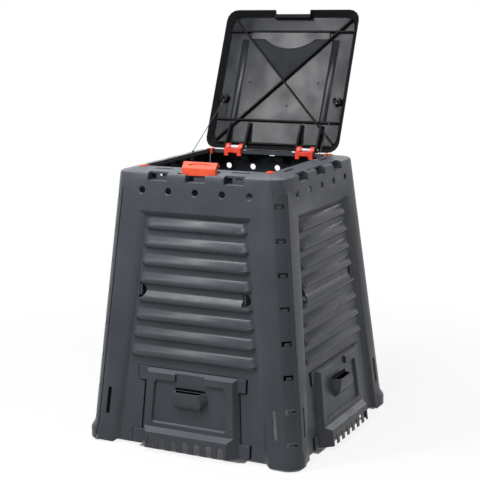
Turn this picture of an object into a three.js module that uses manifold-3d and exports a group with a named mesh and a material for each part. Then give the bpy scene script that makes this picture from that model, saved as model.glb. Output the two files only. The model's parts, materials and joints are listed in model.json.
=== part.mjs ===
// A square garden compost bin with a hinged lid, four interlocking wall panels and four bottom hatches.
// Millimetres, +Z up, front towards -Y. The lid is modelled open, leaning back on its two stays.
import * as THREE from 'three';
import { mergeVertices } from 'three/addons/utils/BufferGeometryUtils.js';
import Module from 'manifold-3d';

const wasm = await Module();
wasm.setup();

// Fits between pieces
const seamGap = 0.3;
const touchGap = 0.3;
const looseGap = 1.2;
const overlap = 1;
const reach = 900;

// Walls: flat sides that lean in, measured on the outside
const wallThickness = 4;
const baseHalf = 460;
const rimHalf = 356;
const wallHeight = 1073;
const taperShare = (baseHalf - rimHalf) / wallHeight;
const turns = 4;
const quarterTurn = Math.PI / 2;
const cornerDegrees = 360 / turns;

// Upright corners: each panel wraps the corner on its right
const cornerRun = 58;
const cornerReturn = 45;
const cornerPowerShare = 1.55;
const cornerSteps = 5;
const smallestCorner = 12;

// Top edge and the shoulder that slopes up to the opening
const edgeDrop = 11;
const edgeStart = wallHeight - edgeDrop;
const edgeRun = 10;
const edgeRise = 10;
const edgeBendShare = 0.7;
const shoulderRun = 80;
const openingHalf = rimHalf - shoulderRun;
const openingRise = 12;
const openingTop = wallHeight + openingRise;
const lipDepth = 16;

// Hinge axis behind the opening, latch axis in front of it, and the latch between the sides of its seat
const hingeOut = 18;
const hingeBack = openingHalf + hingeOut;
const latchOut = 46;
const latchAxisOut = openingHalf + latchOut;
const latchHalf = 72;
const latchSide = 6;
const latchSideRoom = 2;
const seatHalf = latchHalf + latchSide + latchSideRoom;

// Above this height the seam moves to the other side of the corner
const seamRoom = 3;
const seamDrop = 65;
const seamChange = wallHeight - seamDrop;
const upperSeam = 37;
const seamSlitRoom = 6;
const seamSlitLow = seamChange + seamSlitRoom;
const seamSlitLength = 36;
const seamSlitHigh = seamSlitLow + seamSlitLength;
const seamSlitWidth = 3;

// Feet at the corners
const footStart = 350;
const footBlend = 42;
const footBulge = 6;
const footHalf = baseHalf + footBulge;
const footDrawIn = 12;
const footDrawHeight = 11;
const footFace = 48;
const footTop = 77;
const footRun = 60;
const footReturn = 50;
const skirtHeight = 17;
const skirtHalf = 326;
const skirtEnd = 360;
const skirtLeft = 335;
const skirtLeftEnd = 440;

// Recessed field of a panel
const fieldTop = 926;
const fieldTopHalf = 241;
const fieldSpreadShare = 0.112;
const fieldDepth = 18;
const fieldSideRun = 25;
const fieldTopRun = 22;
const slopeGrowShare = 0.7;

// Ridges across the field
const ridgeCount = 8;
const ridgeDrop = 58;
const ridgePitch = 70.8;
const ridgeRise = 16;
const ridgeUp = 31;
const ridgeDown = 18;
const ridgeShares = [1, 0.72, 0.42, 0.12];
const ridgeSkinShares = [1, 0.3];
const ridgePointUp = 17;
const ridgePointDown = 9;
const ridgeEndRun = 22;
const ridgeSideRoom = 3;
const ridgeSkinShare = 0.5;

// Round vents in a row under the top edge
const ventCount = 5;
const ventPitch = 115;
const ventHeight = 1004;
const ventRadius = 12.5;
const ventSides = 12;
const ventBevel = 3;

// D-shaped holes with a tab
const dHoleAside = 225;
const dHoleHeight = 616;
const dHoleHalfWidth = 17;
const dHoleHalfHeight = 29;
const dHoleSteps = 6;
const dTabWidth = 11;
const dTabHalfHeight = 20;
const dTabDrop = 3;

// Long slots beside the hatches
const footSlotLow = 113;
const footSlotHigh = 225;
const footSlotAside = 362;
const footSlotLean = 10;
const footSlotHalfWidth = 8;
const footSlotSteps = 4;

// Corner slots and the tongues that show in them
const slotCount = 8;
const slotFirst = 973;
const slotPitch = 125;
const slotWidth = 38;
const slotHeight = 20;
const slotReach = 9;
const tongueHeight = 9;
const tongueDrop = 3.5;
const tongueThickness = 4;
const tongueRoot = 14;
const tongueInset = 1;
const tipShare = 0.1;

// Notch pockets in the top edge
const pocketSpread = 163;
const pocketHalfWidth = 42;
const pocketDrop = 31;
const pocketFloor = wallHeight - pocketDrop;
const pocketDepth = 22;
const pocketHoleWidth = 26;
const pocketHoleHeight = 24;
const pocketHoleTop = pocketFloor + pocketHoleHeight;
const pocketWellDepth = 14;
const smallHoleAside = 12;
const smallHoleWidth = 26;
const smallHoleHeight = 8;
const smallHoleFloor = pocketHoleTop - smallHoleHeight;

// Slots in the shoulder for hinge brackets, and the oval beside the middle pocket
const shoulderSlotNear = 17;
const shoulderSlotWidth = 10;
const ovalAside = 72;
const ovalHalf = 16;
const ovalHalfWidth = 5;
const ovalIn = 18;
const ovalSides = 12;

// Hatch opening and the hatch in it
const hatchGap = 1.4;
const hatchSideGap = 4.5;
const hatchTop = 320;
const hatchTopHalf = 205;
const hatchBottomHalf = 225;
const topNotchHalf = 238;
const topNotchLow = 264;
const topNotchHigh = 321;
const bottomNotchHalf = 262;
const bottomNotchLow = 14;
const bottomNotchHigh = 72;
const lugSideRoom = 6;
const lugLowRoom = 5;
const hatchSkin = 3.5;
const hatchFoot = 18;
const hatchPlateBack = 20;
const hatchFaceOff = 5;
const hatchFaceTop = 308;
const hatchFaceTopHalf = 184;
const hatchFaceLowHalf = 195;
const hatchFaceLow = 95;
const ledgeOff = 29;
const ledgeTop = 81;
const ledgeHalf = 177;
const lugThickness = 10;
const archCount = 7;
const archPitch = 51;
const archHalf = 14;
const archTop = 61;
const archSteps = 5;
const panelTopHalf = 154;
const panelTop = 282;
const panelLowHalf = 164;
const panelLow = 112;
const panelDepth = 9;
const panelBevel = 4;
const panelCorner = 14;
const channelHalf = 63;

// Handle scoop on the hatch, open at the top
const handleHole = 257;
const handleTop = 248;
const handleLip = 216;
const handleBelly = 197;
const handleLow = 173;
const handleTopHalf = 70;
const handleTopFrontHalf = 50;
const handleLipHalf = 80;
const handleLipFrontHalf = 64;
const handleBellyHalf = 72;
const handleBellyFrontHalf = 56;
const handleLowHalf = 55;
const handleLowFrontHalf = 46;
const handleOff = 28;
const handleLipBulge = 1.5;
const handleBellyOff = 20;
const handleSkin = 3;
const handleBehind = 12;
const handleMouth = 2;

// Lid, measured along it from the hinge axis and down from its rim
const lidLean = THREE.MathUtils.degToRad(23.15);
const lidOver = 32;
const lidHalf = openingHalf + lidOver;
const lidRear = 10;
const lidFrontRoom = 5;
const lidFront = hingeBack + latchAxisOut - lidFrontRoom;
const lidDepth = 27;
const lidSkin = 3;
const lidSideFlare = 25;
const lidFrontFlare = 27;
const lidRearFlare = 30;
const lidCorner = 48;
const lidCornerSteps = 4;
const hingeRise = 10;
const hingeHeight = openingTop + hingeRise;
const rimDrop = 6;
const lidNotchHalf = seatHalf;
const lidNotchDepth = 31;
const lidNotchStart = lidFront - lidNotchDepth;
const lidLedgeLength = 13;
const lidLedgeLow = 3;
const lidLedgeHigh = 6.5;
const lidBumpHalf = 4;
const lidBumpAside = 11;
const lidRibDepth = 12;
const lidRibWidth = 7;
const crossNear = 30;
const crossFarRoom = 37;
const crossFar = lidFront - crossFarRoom;
const crossSideRoom = 36;
const crossAside = lidHalf - crossSideRoom;
const rearRib = 18;
const middleRib = 120;
const frontRibRoom = 95;
const crossRibs = [rearRib, middleRib, lidFront - frontRibRoom];
const hingeRibWidth = 10;
const hingeRibEnd = 110;
const hingeRibFlat = 40;
const hingeRibHub = 11;
const scoopRadius = 190;
const scoopSide = 118;
const scoopWing = 181;
const scoopWingLength = 33;
const scoopSteps = 8;
const scoopRise = 6;
const scoopEdge = 0.6;
const gussetLength = 30;
const gussetWidth = 14;

// Hinge brackets and pins
const bracketCornerRoom = 111;
const bracketAside = openingHalf - bracketCornerRoom;
const bracketHalf = 39;
const cheekWidth = 18;
const pinRadius = 7;
const pinFit = 0.06;
const hubRadius = 14;
const hubRoom = 2;
const hubSteps = 10;
const pinSides = 24;
const pinBeyond = 2;
const pinHalf = bracketHalf + looseGap + hingeRibWidth + pinBeyond;
const bracketFront = 12;
const bracketFootDrop = 25;
const bracketFoot = openingTop - bracketFootDrop;
const bracketBase = 6;
const hookThickness = 6;
const hookFootRise = 2;
const hookFoot = bracketFoot + hookFootRise;
const hookShort = 3;

// Latch, its pin and the seat for them in the front panel
const seatNear = 22;
const seatFar = 71;
const seatDrop = 13;
const seatFloor = wallHeight - seatDrop;
const latchAxisHeight = wallHeight;
const latchPinRadius = 3;
const latchPinFit = 0.06;
const latchHub = 6.5;
const latchCheek = 6;
const latchFaceOut = 18;
const latchFace = latchAxisOut + latchFaceOut;
const latchFootDrop = 6;
const latchBendRise = 22;
const latchCrownIn = 2;
const latchCrown = latchAxisOut - latchCrownIn;
const latchCrownRise = 44;
const latchNoseIn = 20;
const latchNose = latchAxisOut - latchNoseIn;
const latchNoseRise = 31;
const latchNoseLowIn = 18;
const latchNoseLow = latchAxisOut - latchNoseLowIn;
const latchNoseLowRise = 25;
const latchThroatIn = 3;
const latchThroat = latchAxisOut - latchThroatIn;
const latchThroatRise = 32;
const latchBackOut = 12;
const latchBack = latchAxisOut + latchBackOut;
const latchBackRise = 18;
const fingerHalf = 48;
const fingerHalfWidth = 8;
const fingerDepth = 4;
const fingerSides = 14;

// Corner clips
const clipInside = 16;
const clipBeyond = 10;
const clipLeg = 9;
const clipLegInside = 9;
const clipDrop = 19;
const clipFoot = openingTop - clipDrop;
const clipCap = 2.8;

// Stays
const cordRadius = 1.5;
const cordSides = 8;
const cordStep = 8;
const plugHead = 4.5;
const plugStem = 2.2;
const plugFoot = 3.6;
const plugGrip = 7;
const lidPlugGrip = 5;
const plugFootLength = 3;
const plugSides = 12;
const plugFit = 0.3;
const plugNeckShare = 0.75;
const plugNeckRiseShare = 0.66;
const plugRootShare = 0.2;
const anchorSideRoom = 50;
const anchorAside = lidHalf - anchorSideRoom;
const anchorAlong = 216;
const wallPlugOut = 9;
const wallPlugAside = openingHalf + wallPlugOut;
const wallPlugBack = 140;

const plastic = (colour, roughness, metalness) => () =>
  new THREE.MeshStandardMaterial({ color: colour, roughness, metalness });
const slatePlastic = plastic(0x4b4e54, 0.55, 0);
const hatchPlastic = plastic(0x474a50, 0.55, 0);
const blackPlastic = plastic(0x17181a, 0.3, 0);
const orangePlastic = plastic(0xf05f32, 0.4, 0);
const redOrangePlastic = plastic(0xe1462d, 0.4, 0);
const palePin = plastic(0xb9bcc0, 0.35, 0);
const cordFibre = plastic(0x3c3c3e, 0.8, 0);
const plugPlastic = plastic(0x202124, 0.45, 0);

// Half width of the outside of the walls at a height
const halfAt = (z) => baseHalf - taperShare * z;

// Closed surface from equal outlines stacked along local Z, each counterclockwise from above
function loft(rings) {
  const count = rings[0].points.length;
  const positions = [];
  for (const ring of rings) {
    for (const point of ring.points) positions.push(point.x, point.y, ring.at);
  }
  const index = [];
  for (let level = 0; level + 1 < rings.length; level++) {
    for (let i = 0; i < count; i++) {
      const next = (i + 1) % count;
      const a = level * count + i;
      const b = level * count + next;
      const c = b + count;
      const d = a + count;
      index.push(a, b, c, a, c, d);
    }
  }
  const last = (rings.length - 1) * count;
  for (const [start, up] of [[0, false], [last, true]]) {
    const outline = rings[start / count].points;
    for (const [a, b, c] of THREE.ShapeUtils.triangulateShape(outline, [])) {
      const turn = (outline[b].x - outline[a].x) * (outline[c].y - outline[a].y)
        - (outline[b].y - outline[a].y) * (outline[c].x - outline[a].x);
      if ((turn > 0) === up) index.push(start + a, start + b, start + c);
      else index.push(start + a, start + c, start + b);
    }
  }
  const geometry = new THREE.BufferGeometry();
  geometry.setAttribute('position', new THREE.Float32BufferAttribute(positions, 3));
  geometry.setIndex(index);
  return geometry;
}

// A solid that can be joined and cut
function solid(geometry, matrix) {
  let source = geometry.clone();
  if (matrix) source.applyMatrix4(matrix);
  source.deleteAttribute('normal');
  source.deleteAttribute('uv');
  source = mergeVertices(source);
  return new wasm.Manifold(new wasm.Mesh({
    numProp: 3,
    vertProperties: new Float32Array(source.attributes.position.array),
    triVerts: new Uint32Array(source.index.array),
  }));
}

// Back from a solid to a geometry with flat faces
function surface(body) {
  const mesh = body.getMesh();
  const geometry = new THREE.BufferGeometry();
  geometry.setAttribute('position', new THREE.Float32BufferAttribute(mesh.vertProperties, mesh.numProp));
  geometry.setIndex([...mesh.triVerts]);
  const flat = geometry.toNonIndexed();
  flat.computeVertexNormals();
  return flat;
}

const joined = (bodies) => bodies.reduce((sum, body) => sum.add(body));
const without = (body, cutters) => cutters.reduce((rest, cutter) => rest.subtract(cutter), body);
const pairs = (places) => places.map(([x, y]) => new THREE.Vector2(x, y));

function block(x0, x1, y0, y1, z0, z1, matrix) {
  const box = new THREE.BoxGeometry(x1 - x0, y1 - y0, z1 - z0);
  box.translate((x0 + x1) / 2, (y0 + y1) / 2, (z0 + z1) / 2);
  return solid(box, matrix);
}

// Outline swept straight along local Z
function plate(outline, from, to, matrix) {
  return solid(loft([{ at: from, points: outline }, { at: to, points: outline }]), matrix);
}

// An outline in the YZ plane swept along X
const sideways = new THREE.Matrix4().set(0, 0, 1, 0, 1, 0, 0, 0, 0, 1, 0, 0, 0, 0, 0, 1);
const profile = (outline, from, to) => plate(outline, from, to, sideways);

function arc(x, y, radius, start, sweep, steps) {
  const points = [];
  for (let i = 0; i <= steps; i++) {
    const angle = start + sweep * i / steps;
    points.push(new THREE.Vector2(x + radius * Math.cos(angle), y + radius * Math.sin(angle)));
  }
  return points;
}

function oval(x, y, halfX, halfY, sides) {
  const points = [];
  for (let i = 0; i < sides; i++) {
    const angle = 2 * Math.PI * i / sides;
    points.push(new THREE.Vector2(x + halfX * Math.cos(angle), y + halfY * Math.sin(angle)));
  }
  return points;
}

const rodAlongX = (from, to, y, z, radius, sides) => profile(oval(y, z, radius, radius, sides), from, to);

// Hole whose flats clear a round rod by the fit
const boreAround = (radius, fit, sides) => (radius + fit) / Math.cos(Math.PI / sides);

// Point on the front right corner: share 0 lies on the front face, share 1 on the side face
function cornerPoint(half, run, back, share) {
  const angle = share * quarterTurn;
  const bend = 2 / cornerPowerShare;
  return new THREE.Vector2(
    half - run + run * Math.sin(angle) ** bend,
    back - half - back * Math.max(Math.cos(angle), 0) ** bend,
  );
}

// Outline of the four walls together
function wallOutline(half, run, back) {
  const points = [];
  for (let turn = 0; turn < turns; turn++) {
    for (let step = 0; step <= cornerSteps; step++) {
      const point = cornerPoint(half, run, back, step / cornerSteps);
      point.rotateAround(new THREE.Vector2(0, 0), turn * quarterTurn);
      points.push(point);
    }
  }
  return points;
}

// Rows of half width and height from the ground over the edge to the opening
function outerRows(bottom) {
  const start = halfAt(edgeStart);
  return [
    { half: halfAt(bottom), z: bottom },
    { half: start, z: edgeStart },
    { half: start - edgeRun * (1 - edgeBendShare), z: edgeStart + edgeRise * edgeBendShare },
    { half: start - edgeRun, z: edgeStart + edgeRise },
    { half: openingHalf, z: openingTop },
  ];
}

function wallSolid(rows, thickness) {
  const start = halfAt(edgeStart);
  return solid(loft(rows.map((row) => {
    const inset = Math.max(start - row.half, 0);
    const run = Math.max(cornerRun - inset, smallestCorner) - thickness;
    const back = Math.max(cornerReturn - inset, smallestCorner) - thickness;
    return { at: row.z, points: wallOutline(row.half - thickness, run, back) };
  })));
}

// The inside follows the outside one wall thickness away
function innerRows() {
  const outer = outerRows(-reach);
  const shoulderDrop = wallThickness;
  return outer.map((row, i) => {
    if (i < 2) return { half: row.half, z: i === 0 ? row.z : row.z - shoulderDrop / 2 };
    if (i === outer.length - 1) return { half: row.half + wallThickness, z: row.z - shoulderDrop };
    return { half: row.half, z: row.z - shoulderDrop };
  });
}

const footOutline = (half, inset) => wallOutline(half - inset, footRun - inset, footReturn - inset);

// Feet: upright corner blocks below a sloping ledge, their faces leaning back into the walls at the sides
function footSolid(inset, bottom) {
  const body = solid(loft([
    { at: bottom, points: footOutline(footHalf, inset) },
    { at: footFace - inset / 2, points: footOutline(footHalf, inset) },
    { at: footTop - inset, points: footOutline(halfAt(footTop) - seamGap, inset) },
  ]));
  const near = footStart + inset;
  const far = near + footBlend;
  const face = footHalf - inset;
  const corner = (z) => {
    const wall = halfAt(z) - inset;
    return pairs([
      [near, -near], [near, -wall], [far, -face], [far, -reach],
      [reach, -reach], [reach, -far], [face, -far], [wall, -near],
    ]);
  };
  const right = solid(loft([
    { at: -reach, points: corner(-reach) }, { at: footTop, points: corner(footTop) },
  ]));
  return body.intersect(joined([right, right.rotate([0, 0, -cornerDegrees])]));
}

// The bottom edge of the feet draws in towards the ground
function groundTaper(inset, bottom) {
  const narrow = footOutline(footHalf, inset + footDrawIn);
  const wide = footOutline(footHalf + overlap, inset);
  const rows = [
    { at: 0, points: narrow }, { at: footDrawHeight, points: wide }, { at: reach * 2, points: wide },
  ];
  if (bottom < 0) rows.unshift({ at: bottom, points: narrow });
  return solid(loft(rows));
}

// Local axes of the front panel: across, up and out from the leaning wall
const onPanel = new THREE.Matrix4().set(
  1, 0, 0, 0,
  0, taperShare, -1, -baseHalf,
  0, 1, 0, 0,
  0, 0, 0, 1,
);
const panelBlock = (u0, u1, z0, z1, o0, o1) => block(u0, u1, z0, z1, o0, o1, onPanel);
const panelPlate = (outline, o0, o1) => plate(outline, o0, o1, onPanel);
const panelLoft = (rings) => solid(loft(rings), onPanel);

// Recessed field; the skin behind it is the same shape moved in
function fieldOutline(sideInset, topInset) {
  const top = fieldTop - topInset;
  const topHalf = fieldTopHalf - sideInset;
  const low = -reach / 2;
  const lowHalf = topHalf + fieldSpreadShare * (fieldTop - low);
  return pairs([[-lowHalf, low], [lowHalf, low], [topHalf, top], [-topHalf, top]]);
}

function fieldCutter(skin) {
  const ring = (off) => {
    const share = -(off + skin) / fieldDepth;
    const grow = skin * slopeGrowShare;
    return { at: off, points: fieldOutline(fieldSideRun * share - grow, fieldTopRun * share - grow) };
  };
  return panelLoft([ring(-fieldDepth - skin), ring(wallThickness)]);
}

const fieldHalfAt = (z) => fieldTopHalf + fieldSpreadShare * (fieldTop - z) - fieldSideRun;

// A ridge with pointed ends: long upper flank, short lower flank and a rounded crest
function ridge(crest, skin) {
  const shrink = skin * ridgeSkinShare;
  const length = fieldHalfAt(crest) - ridgeSideRoom - shrink;
  const floor = -fieldDepth - skin;
  const ring = (share, at) => {
    const half = length - ridgeEndRun * (1 - share);
    const top = crest + ridgeUp * share - shrink;
    const low = crest - ridgeDown * share + shrink;
    return { at, points: pairs([
      [-half, crest], [ridgePointDown - half, low], [half - ridgePointDown, low],
      [half, crest], [half - ridgePointUp, top], [ridgePointUp - half, top],
    ]) };
  };
  const shares = skin > 0 ? ridgeSkinShares : ridgeShares;
  const bow = (share) => Math.cos(share * quarterTurn);
  const crown = bow(shares[shares.length - 1]);
  return panelLoft([
    ring(shares[0], floor - overlap),
    ...shares.map((share) => ring(share, floor + ridgeRise * bow(share) / crown)),
  ]);
}

function ridges(skin) {
  const rows = [];
  for (let i = 0; i < ridgeCount; i++) rows.push(ridge(fieldTop - ridgeDrop - i * ridgePitch, skin));
  return rows;
}

// Notch pockets, each with a deeper well in its left part and a small hole at the top
const pocketPlaces = [-pocketSpread, 0, pocketSpread];
function pocket(centre, skin) {
  const half = pocketHalfWidth + skin;
  return panelBlock(centre - half, centre + half, pocketFloor - skin, reach * 2, -pocketDepth - skin, reach);
}

function pocketWell(centre, skin) {
  const left = centre - pocketHalfWidth - skin;
  const right = centre - pocketHalfWidth + pocketHoleWidth + skin;
  const back = -pocketDepth - pocketWellDepth - skin;
  return panelBlock(left, right, pocketFloor - skin, pocketHoleTop + skin, back, overlap - pocketDepth);
}

function pocketHole(centre) {
  const left = centre + smallHoleAside - smallHoleWidth / 2;
  const back = -pocketDepth - wallThickness - overlap;
  return panelBlock(left, left + smallHoleWidth, smallHoleFloor, pocketHoleTop, back, overlap - pocketDepth);
}

// Seat for the latch, sunk into the front shoulder
function latchSeat(skin) {
  return block(
    -seatHalf - skin, seatHalf + skin,
    -openingHalf - seatFar - skin, -openingHalf - seatNear + skin, seatFloor - skin, reach * 2,
  );
}

const hatchLeanShare = (hatchBottomHalf - hatchTopHalf) / hatchTop;
const hatchHalfAt = (z) => hatchBottomHalf - hatchLeanShare * z;

// Four-sided outline in the wall plane, symmetrical about the middle
const quad = (low, lowHalf, high, highHalf) =>
  pairs([[-lowHalf, low], [lowHalf, low], [highHalf, high], [-highHalf, high]]);

function hatchOpening() {
  const back = -reach / 4;
  const front = reach / 4;
  return [
    panelPlate(quad(-reach / 2, hatchHalfAt(-reach / 2), hatchTop, hatchTopHalf), back, front),
    panelBlock(-topNotchHalf, topNotchHalf, topNotchLow, topNotchHigh, back, front),
    panelBlock(-bottomNotchHalf, bottomNotchHalf, bottomNotchLow, bottomNotchHigh, back, front),
  ];
}

function vents() {
  const holes = [];
  for (let i = 0; i < ventCount; i++) {
    const across = (i - (ventCount - 1) / 2) * ventPitch;
    const round = (radius) => oval(across, ventHeight, radius, radius, ventSides);
    holes.push(panelPlate(round(ventRadius), -reach / 4, reach / 4));
    holes.push(panelLoft([
      { at: -ventBevel, points: round(ventRadius) },
      { at: overlap, points: round(ventRadius + ventBevel + overlap) },
    ]));
  }
  return holes;
}

// D-shaped hole, flat on the left
function dOutline(centre, inset) {
  const left = centre - dHoleHalfWidth + inset;
  const deep = 2 * dHoleHalfWidth - 2 * inset;
  const bow = oval(left, dHoleHeight, deep, dHoleHalfHeight - inset, 2 * dHoleSteps);
  return bow.filter((point) => point.x >= left - seamGap);
}

const dHole = (centre) => panelPlate(dOutline(centre, 0), -reach / 4, reach / 4);

// Tab behind the flat side of a D-shaped hole
function dTab(centre) {
  const left = centre - dHoleHalfWidth;
  const face = -fieldDepth - dTabDrop;
  return panelBlock(
    left - wallThickness, left + dTabWidth,
    dHoleHeight - dTabHalfHeight, dHoleHeight + dTabHalfHeight, face - wallThickness, face,
  );
}

function footSlot(side) {
  const low = side * (footSlotAside + footSlotLean / 2);
  const high = side * (footSlotAside - footSlotLean / 2);
  const points = [
    ...arc(high, footSlotHigh - footSlotHalfWidth, footSlotHalfWidth, 0, Math.PI, footSlotSteps),
    ...arc(low, footSlotLow + footSlotHalfWidth, footSlotHalfWidth, Math.PI, Math.PI, footSlotSteps),
  ];
  return panelPlate(points, -reach / 8, reach / 8);
}

const slotHeights = [];
for (let i = 0; i < slotCount; i++) slotHeights.push(slotFirst - i * slotPitch);

// Slot in the middle of the wrapped corner
function cornerSlot(z) {
  const middle = cornerPoint(halfAt(z), cornerRun, cornerReturn, 1 / 2);
  const angle = Math.atan2(-cornerRun, cornerReturn);
  const box = new THREE.BoxGeometry(2 * slotReach, slotWidth, slotHeight);
  box.rotateZ(angle);
  box.translate(middle.x, middle.y, z);
  return solid(box);
}

// Tongue on the left edge: it runs behind the neighbour's corner and shows in its slot
function tongueOutline(z) {
  const half = halfAt(z);
  const around = (offset, share) => {
    const point = cornerPoint(half - offset, cornerRun - offset, cornerReturn - offset, share);
    return new THREE.Vector2(point.y, -point.x);
  };
  const near = wallThickness + looseGap;
  const far = near + tongueThickness;
  const root = cornerReturn - half + seamGap;
  const tipStart = 1 / 2 + tipShare;
  const tipEnd = 1 / 2 - tipShare;
  return [
    new THREE.Vector2(root + touchGap, wallThickness - touchGap - half),
    new THREE.Vector2(root + tongueRoot, wallThickness - touchGap - half),
    new THREE.Vector2(root + tongueRoot, far - half),
    around(far, 1), around(far, tipEnd), around(tongueInset, tipEnd),
    around(tongueInset, tipStart), around(near, tipStart), around(near, 1),
    new THREE.Vector2(root + touchGap, near - half),
  ];
}

function tongue(z) {
  const middle = z - tongueDrop;
  return solid(loft([middle - tongueHeight / 2, middle + tongueHeight / 2].map((height) => (
    { at: height, points: tongueOutline(height) }
  ))));
}

// The part of the ring of walls that belongs to the front panel
function panelRegion() {
  const gap = seamGap;
  const lower = (z) => {
    const seam = halfAt(z) - cornerReturn;
    const left = gap + seamRoom - seam;
    return pairs([[left, -reach], [reach, -reach], [reach, -seam - gap], [left, -seam - gap]]);
  };
  const upper = (z) => {
    const half = halfAt(z);
    const seam = half - upperSeam;
    const corner = openingHalf + half - halfAt(openingTop);
    return pairs([
      [-reach, -reach], [seam - gap, -reach], [seam - gap, -half], [corner - gap, -corner],
      [0, -openingHalf / 2],
      [-corner, -corner - gap], [-half, -seam - gap], [-reach, -seam - gap],
    ]);
  };
  const middle = (z) => {
    const half = halfAt(z);
    const seam = half - upperSeam;
    const corner = openingHalf + half - halfAt(openingTop);
    const left = gap + seamRoom + cornerReturn - half;
    return pairs([
      [left, -reach], [seam - gap, -reach], [seam - gap, -half], [corner - gap, -corner],
      [0, -openingHalf / 2], [left, -openingHalf / 2],
    ]);
  };
  const span = (outline, from, to) => solid(loft([
    { at: from, points: outline(from) }, { at: to, points: outline(to) },
  ]));
  return joined([
    span(lower, -reach, seamChange - gap),
    span(middle, seamChange - gap - overlap, seamChange + gap + overlap),
    span(upper, seamChange + gap, reach * 2),
  ]);
}

function shoulderSlots() {
  const far = -openingHalf - shoulderSlotNear;
  const cuts = [-1, 1].map((side) => block(
    side * bracketAside - bracketHalf, side * bracketAside + bracketHalf,
    far - shoulderSlotWidth, far, edgeStart, openingTop,
  ));
  const ovalAt = -halfAt(edgeStart) + ovalIn;
  cuts.push(plate(oval(-ovalAside, ovalAt, ovalHalf, ovalHalfWidth, ovalSides), edgeStart, openingTop));
  for (const side of [-1, 1]) {
    const hole = oval(side * wallPlugBack, -wallPlugAside, plugStem + plugFit, plugStem + plugFit, plugSides);
    cuts.push(plate(hole, edgeStart, openingTop));
  }
  return cuts;
}

// Gap in the upper corner seam
function seamSlit() {
  const right = (z) => halfAt(z) - upperSeam;
  const ring = (z) => ({ at: z, points: pairs([
    [right(z) - seamSlitWidth, -reach], [right(z) + overlap, -reach],
    [right(z) + overlap, -right(z)], [right(z) - seamSlitWidth, -right(z)],
  ]) });
  return solid(loft([ring(seamSlitLow), ring(seamSlitHigh)]));
}

// The raised bottom edge between the feet
function skirtCut() {
  const low = -reach / 2;
  const drop = (skirtHeight - low) / skirtHeight;
  const outline = pairs([
    [-skirtLeft - (skirtLeftEnd - skirtLeft) * drop, low], [skirtHalf + (skirtEnd - skirtHalf) * drop, low],
    [skirtHalf, skirtHeight], [-skirtLeft, skirtHeight],
  ]);
  return panelPlate(outline, -reach / 4, reach / 4);
}

const innerWalls = () => wallSolid(innerRows(), wallThickness).add(footSolid(wallThickness, -reach));
const pocketWithin = (place) => [pocket(place, wallThickness), pocketWell(place, wallThickness)];

function wallPanel(withSeat) {
  const outer = joined([
    without(wallSolid(outerRows(0), 0).add(footSolid(0, 0)).intersect(groundTaper(0, 0)), [
      fieldCutter(0), ...pocketPlaces.flatMap((place) => [pocket(place, 0), pocketWell(place, 0)]),
      ...(withSeat ? [latchSeat(0)] : []),
    ]),
    ...ridges(0),
  ]);
  const lip = plate(
    wallOutline(openingHalf + wallThickness, smallestCorner + wallThickness, smallestCorner + wallThickness),
    openingTop - lipDepth, reach * 2,
  );
  const inner = joined([
    without(innerWalls().intersect(groundTaper(wallThickness, -reach)), [
      fieldCutter(wallThickness), ...pocketPlaces.flatMap(pocketWithin),
      ...(withSeat ? [latchSeat(wallThickness)] : []), lip,
    ]),
    ...ridges(wallThickness),
  ]);
  const opening = plate(
    wallOutline(openingHalf, smallestCorner, smallestCorner), openingTop - lipDepth - overlap, reach * 2,
  );
  const shell = without(outer, [inner, opening]).intersect(panelRegion());
  const cut = without(shell, [
    skirtCut(), ...hatchOpening(), ...vents(), dHole(-dHoleAside), dHole(dHoleAside),
    footSlot(-1), footSlot(1), ...slotHeights.map(cornerSlot),
    ...pocketPlaces.map(pocketHole), ...shoulderSlots(), seamSlit(),
    ...(withSeat ? [latchPinRod(latchPinBore)] : []),
  ]);
  return joined([cut, dTab(-dHoleAside), dTab(dHoleAside), ...slotHeights.map(tongue)]);
}

// Bottom hatch: a hollow shell with a framed face, a ledge and arches
function hatchShell(skin) {
  const back = -hatchPlateBack - (skin > 0 ? overlap : 0);
  const inset = hatchGap + skin;
  const halfOf = (z) => hatchHalfAt(z) - hatchSideGap - skin;
  const face = panelLoft([
    { at: back, points: quad(ledgeTop - skin, halfOf(ledgeTop), hatchTop - inset, halfOf(hatchTop)) },
    { at: hatchFaceOff - skin, points: quad(
      ledgeTop - skin, hatchFaceLowHalf - skin, hatchFaceTop - skin, hatchFaceTopHalf - skin) },
  ]);
  const slope = (hatchFaceLow - ledgeTop) / (ledgeOff - hatchFaceOff);
  const ledgeBackTop = hatchFaceLow + slope * (hatchFaceOff + hatchPlateBack) - skin;
  const foot = skin > 0 ? -reach / 8 : hatchFoot;
  const base = panelLoft([
    { at: back, points: quad(foot, halfOf(hatchFoot), ledgeBackTop, halfOf(ledgeBackTop)) },
    { at: ledgeOff - skin, points: quad(foot, ledgeHalf - skin, ledgeTop - skin, ledgeHalf - skin) },
  ]);
  return face.add(base);
}

function roundedPanel(grow) {
  const corner = panelCorner + grow;
  const lowX = panelLowHalf + grow - corner;
  const topX = panelTopHalf + grow - corner;
  const lowY = panelLow - grow + corner;
  const topY = panelTop + grow - corner;
  return [
    ...arc(lowX, lowY, corner, -quarterTurn, quarterTurn, 2),
    ...arc(topX, topY, corner, 0, quarterTurn, 2),
    ...arc(-topX, topY, corner, quarterTurn, quarterTurn, 2),
    ...arc(-lowX, lowY, corner, 2 * quarterTurn, quarterTurn, 2),
  ];
}

function facePanel(skin) {
  const floor = hatchFaceOff - panelDepth - skin;
  const front = hatchFaceOff + (skin > 0 ? 0 : overlap);
  const sunk = panelLoft([
    { at: floor, points: roundedPanel(skin - panelBevel) },
    { at: hatchFaceOff, points: roundedPanel(skin) },
    { at: hatchFaceOff + overlap, points: roundedPanel(skin) },
  ]);
  const half = channelHalf + skin;
  const channel = panelBlock(-half, half, panelTop - panelCorner, hatchTop + reach / 8, floor, front);
  return sunk.add(channel);
}

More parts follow.
